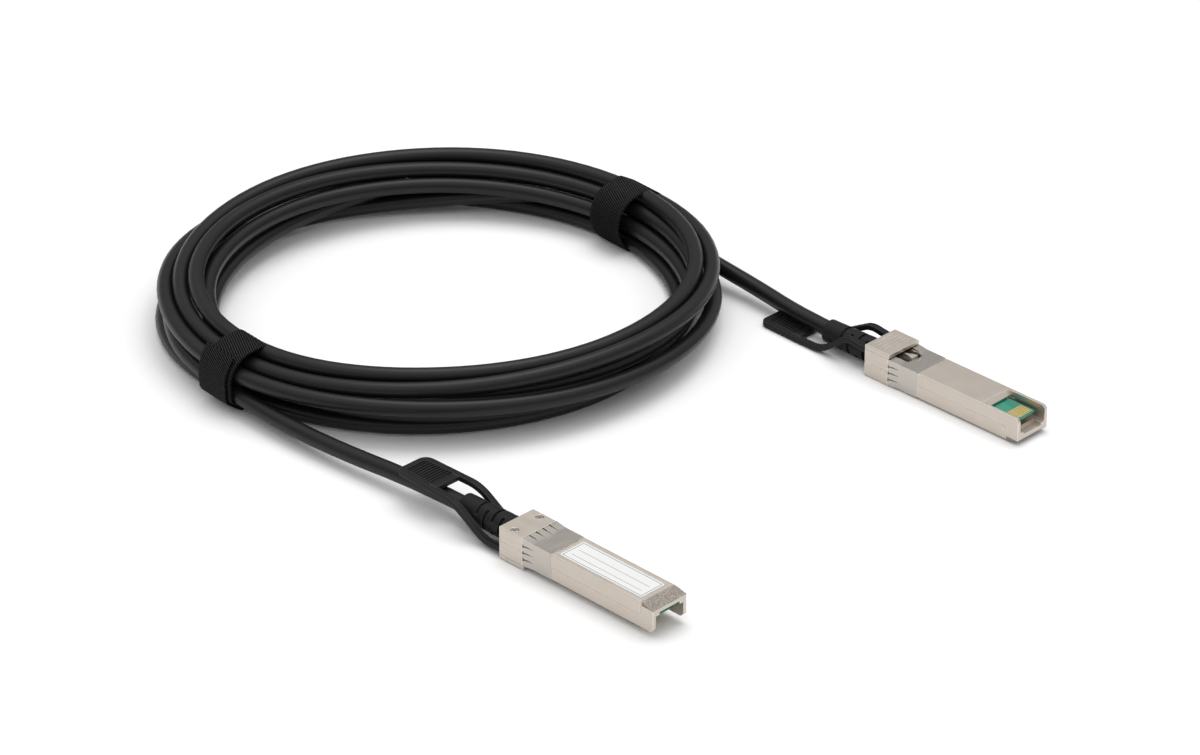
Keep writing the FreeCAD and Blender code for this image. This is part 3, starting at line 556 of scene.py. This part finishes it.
# ---------------------------------------------------------------- straps
# Two black hook-and-loop straps tie the turns. Each is a ribbon woven in slanting ribs, wound
# once round the bundle and lapped: strap a's cut end shows on the outer side, b's lies underneath.
STRAP_WIDTH = 0.0130
STRAP_THICKNESS = 0.0008
RIB_PITCH = 0.00080
RIB_SLANT = 0.45
ROUND_CORE = (0.0, 0.0104, 0.0096)      # fills the bundle out to a round: outward, up, radius
WINDING_STEP = 4                        # degrees
LAP_START, LAP_BLEND = 330, 40          # degrees wound when the lap climbs on the first layer
LAP_GAP = 0.00025
END_LIFT, END_LIFT_OVER = 0.0006, 16    # the cut end stands off, over its last degrees
SELVEDGE_START, SELVEDGE = 0.86, 0.14   # shares of the half width
RIB_HEIGHT = 0.00011
SELVEDGE_WAVE = 0.00016
ROWS_ACROSS = 24
COLUMNS_PER_RIB = 5
BUNDLE_REACH = 0.011                    # further out than this, the cable is no longer tied in

drawn = []                              # the spline that the route's points draw
for before, here, after in zip(route, route[1:], route[2:]):
    drawn.append([(a + 6 * b + c) / 8 for a, b, c in zip(before, here, after)])
    drawn.append([(b + c) / 2 for b, c in zip(here, after)])


def turns_at(angle):
    """Where the cable's middle line crosses the upright section at an angle, as (outward, up)."""
    found = []
    for first, second in zip(drawn, drawn[1:]):
        ends_at = []
        for place in (first, second):
            x, y = place[0] - COIL_CENTRE[0], place[1] - COIL_CENTRE[1]
            swing = (math.atan2(y, x) - angle + math.pi) % (2 * math.pi) - math.pi
            ends_at.append((swing, math.hypot(x, y) - middle_radius(angle), place[2]))
        (swing_1, out_1, up_1), (swing_2, out_2, up_2) = ends_at
        crosses = swing_1 * swing_2 <= 0 and 0 < abs(swing_1 - swing_2) < 1
        if crosses and abs(out_1) < BUNDLE_REACH:
            share = swing_1 / (swing_1 - swing_2)
            found.append((out_1 + (out_2 - out_1) * share, up_1 + (up_2 - up_1) * share))
    return found


def ramp(value, length):
    """0 at nothing, 1 from the length on, straight between."""
    return min(1.0, max(0.0, value / length))


def strap(name, angle, start_turn, end_turn, drift):
    """Winds a flat ribbon round the turns, from one direction round to another, in degrees.

    The lapping layer lies to one side of the first by twice the drift.
    """
    swing = STRAP_WIDTH / 2 / middle_radius(angle)
    held = []
    for share in (-1, -0.5, 0, 0.5, 1):
        held += [(*turn, CABLE_DIAMETER / 2 + 0.0001) for turn in turns_at(angle + share * swing)]
    held.append(ROUND_CORE)
    path = []
    for step in range(int((end_turn - start_turn) / WINDING_STEP) + 1):
        way = start_turn + WINDING_STEP * step
        facing = (math.cos(math.radians(way)), math.sin(math.radians(way)))
        out, up, stand = max(held, key=lambda turn: (turn[0] * facing[0] + turn[1] * facing[1]
                                                     + turn[2]))
        lap = ramp(way - start_turn - LAP_START, LAP_BLEND)
        stand += (lap * (STRAP_THICKNESS + LAP_GAP)
                  + END_LIFT * ramp(way - end_turn + END_LIFT_OVER, END_LIFT_OVER))
        lowest = 0.0001 + (1 - lap) * (STRAP_THICKNESS + 0.0001)
        path.append((out + stand * facing[0], max(up + stand * facing[1], lowest)))
    for _ in range(3):
        path = [path[0]] + [tuple(0.25 * (a[part] + 2 * b[part] + c[part]) for part in (0, 1))
                            for a, b, c in zip(path, path[1:], path[2:])] + [path[-1]]
    reach = [0.0]
    for first, second in zip(path, path[1:]):
        reach.append(reach[-1] + math.dist(first, second))
    length = reach[-1]

    columns = int(length / RIB_PITCH * COLUMNS_PER_RIB)
    bpy.ops.mesh.primitive_grid_add(x_subdivisions=columns, y_subdivisions=ROWS_ACROSS, size=1)
    ribbon = bpy.context.object
    ribbon.name = name
    out_way = Vector((math.cos(angle), math.sin(angle), 0))
    side_way = Vector((-math.sin(angle), math.cos(angle), 0))
    centre = Vector((*COIL_CENTRE, 0)) + out_way * middle_radius(angle)
    uv = ribbon.data.uv_layers.active.data
    for loop in ribbon.data.loops:
        flat = ribbon.data.vertices[loop.vertex_index].co
        uv[loop.index].uv = ((flat.x + 0.5) * length, (flat.y + 0.5) * STRAP_WIDTH)
    for vertex in ribbon.data.vertices:
        run = (vertex.co.x + 0.5) * length
        aside = vertex.co.y * STRAP_WIDTH
        lapped = ramp(run / length * (end_turn - start_turn) - LAP_START, LAP_BLEND)
        part = max(index for index, gone in enumerate(reach[:-1]) if gone <= run + 1e-9)
        share = (run - reach[part]) / max(reach[part + 1] - reach[part], 1e-9)
        first, second = Vector(path[part]), Vector(path[part + 1])
        across = (second - first).normalized()
        spot = first.lerp(second, share)
        phase = 2 * math.pi * (run + RIB_SLANT * aside) / RIB_PITCH
        edge = max(0.0, abs(vertex.co.y) * 2 - SELVEDGE_START) / SELVEDGE
        outwards = Vector((across.y, -across.x))
        spot += outwards * (RIB_HEIGHT * math.sin(phase) * (1 - 0.6 * edge))
        aside += math.copysign(SELVEDGE_WAVE * edge * math.sin(phase), aside)
        aside += drift * (1 - 2 * lapped)
        vertex.co = centre + out_way * spot.x + side_way * aside + Vector((0, 0, spot.y))
    thick = ribbon.modifiers.new("thickness", "SOLIDIFY")
    thick.thickness = STRAP_THICKNESS
    thick.offset = 1.0
    bpy.ops.object.modifier_apply(modifier="thickness")
    bpy.ops.object.shade_smooth()
    bpy.ops.object.select_all(action="DESELECT")
    return ribbon


webbing, start, shader = new_finish("strap_webbing")
cloth = start.node("UVMap")
run = start.node("SeparateXYZ", None, {"Vector": cloth}, "X")
aside = start.node("SeparateXYZ", None, {"Vector": cloth}, "Y")
ribs = (run + RIB_SLANT * aside).wave(RIB_PITCH)
threads = (aside - 0.3 * run).wave(0.00042)
fuzz = grain(start, 0.00025, 4, 0.75)
# Painted highlight: the rib tops are coloured lighter than the near-black webbing between them.
painted_rib_highlight = ribs.over(0.50, 1.0) * (0.35 + 0.65 * threads) * fuzz.over(0.25, 0.7)
plug_in(start, shader, Roughness=0.80, Specular_IOR_Level=0.12,
        Base_Color=tint(painted_rib_highlight, (0.0014, 0.0013, 0.0013), (0.105, 0.099, 0.096)),
        Normal=relief(start, 0.7 * ribs + 0.4 * ribs * threads + 0.5 * fuzz, 0.00012, 0.9))
strap_a = strap("hook_strap_a", math.radians(-94.3), start_turn=-100, end_turn=412, drift=0.0007)
strap_b = strap("hook_strap_b", math.radians(86.5), start_turn=-120, end_turn=350, drift=-0.0004)
for ribbon, end in ((strap_a, "a"), (strap_b, "b")):
    ribbon.data.materials.append(webbing)
    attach(ribbon, "cable")
    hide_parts("strap_" + end)


# ---------------------------------------------------------------- floor, world and lamps
# A white paper sweep under a pale overhead light, with one soft lamp high up and a little behind.
# The sky is dimmer in one patch behind, so that the upper faces of the metal don't turn white.
FLOOR_GREY = 0.66
EXTRA_WHITE = 0.33                 # added where the floor is seen, so that it comes out white
IN_REFLECTIONS = 0.85              # share of that in what the metal mirrors
SKY_LOW, SKY_RISE = 0.42, 0.78     # strength near the horizon, and what is added overhead
PATCH_TOWARDS = (-0.62, 0.62, 0.48)
PATCH_DEPTH = 0.40

bpy.ops.mesh.primitive_plane_add(size=8, location=(0, 0, -0.0002))
floor = bpy.context.object
floor.name = "floor"
sweep, start, shader = new_finish("floor_paper")
plug_in(start, shader, Base_Color=(FLOOR_GREY,) * 3 + (1,), Roughness=0.8, Specular_IOR_Level=0.0)
seen = start.node("LightPath") + IN_REFLECTIONS * start.node("LightPath", out="Is Glossy Ray")
paler = start.node("BsdfDiffuse", None, {"Color": (EXTRA_WHITE,) * 3 + (1,)})
none = start.node("BsdfDiffuse", None, {"Color": (0, 0, 0, 1)})
extra = start.node("MixShader", None, {0: seen, 1: none, 2: paler})
both = start.node("AddShader", None, {0: Signal(start.tree, shader.outputs[0]), 1: extra})
start.tree.links.new(both.socket, start.tree.nodes["Material Output"].inputs["Surface"])
floor.data.materials.append(sweep)

world = bpy.data.worlds.new("studio")
bpy.context.scene.world = world
world.use_nodes = True
air = Signal(world.node_tree)
sky = world.node_tree.nodes["Background"]
sky.inputs["Color"].default_value = (1, 1, 1, 1)
direction = air.node("TexCoord", out="Generated")
overhead = air.node("SeparateXYZ", None, {"Vector": direction}, "Z").over(0.25, 0.95)
seen = air.node("LightPath")
patch = air.node("VectorMath", {"operation": "DOT_PRODUCT"},
                 {0: direction, 1: PATCH_TOWARDS}, "Value")
strength = (SKY_LOW + SKY_RISE * overhead) * (1 - PATCH_DEPTH * patch.over(0.72, 0.96))
strength = air.node("Mix", {"data_type": "FLOAT"}, {0: seen, 2: strength, 3: 1.0})
world.node_tree.links.new(strength.socket, sky.inputs["Strength"])


def lamp(name, place, size, watts, target):
    """A soft box of that size at a place, turned to face its target."""
    light = bpy.data.lights.new(name, "AREA")
    light.shape = "RECTANGLE"
    light.size, light.size_y = size
    light.energy = watts
    piece = bpy.data.objects.new(name, light)
    bpy.context.scene.collection.objects.link(piece)
    piece.location = place
    piece.rotation_euler = (Vector(target) - piece.location).to_track_quat("-Z", "Y").to_euler()


lamp("back_box", place=(-0.25, 0.32, 1.25), size=(0.9, 0.9), watts=5.5, target=(-0.08, 0.0, 0.0))


# ---------------------------------------------------------------- camera
# A long lens from in front and to the right, looking down at thirty degrees.
eye = bpy.data.cameras.new("camera")
eye.lens = 145.8
eye.sensor_width = 36
camera = bpy.data.objects.new("camera", eye)
bpy.context.scene.collection.objects.link(camera)
camera.location = (0.8587, -0.9118, 0.7386)
aim = Vector((-0.0645, 0.0114, 0.0)) - camera.location
camera.rotation_euler = aim.to_track_quat("-Z", "Y").to_euler()
bpy.context.scene.camera = camera
bpy.context.scene.view_settings.view_transform = "Standard"
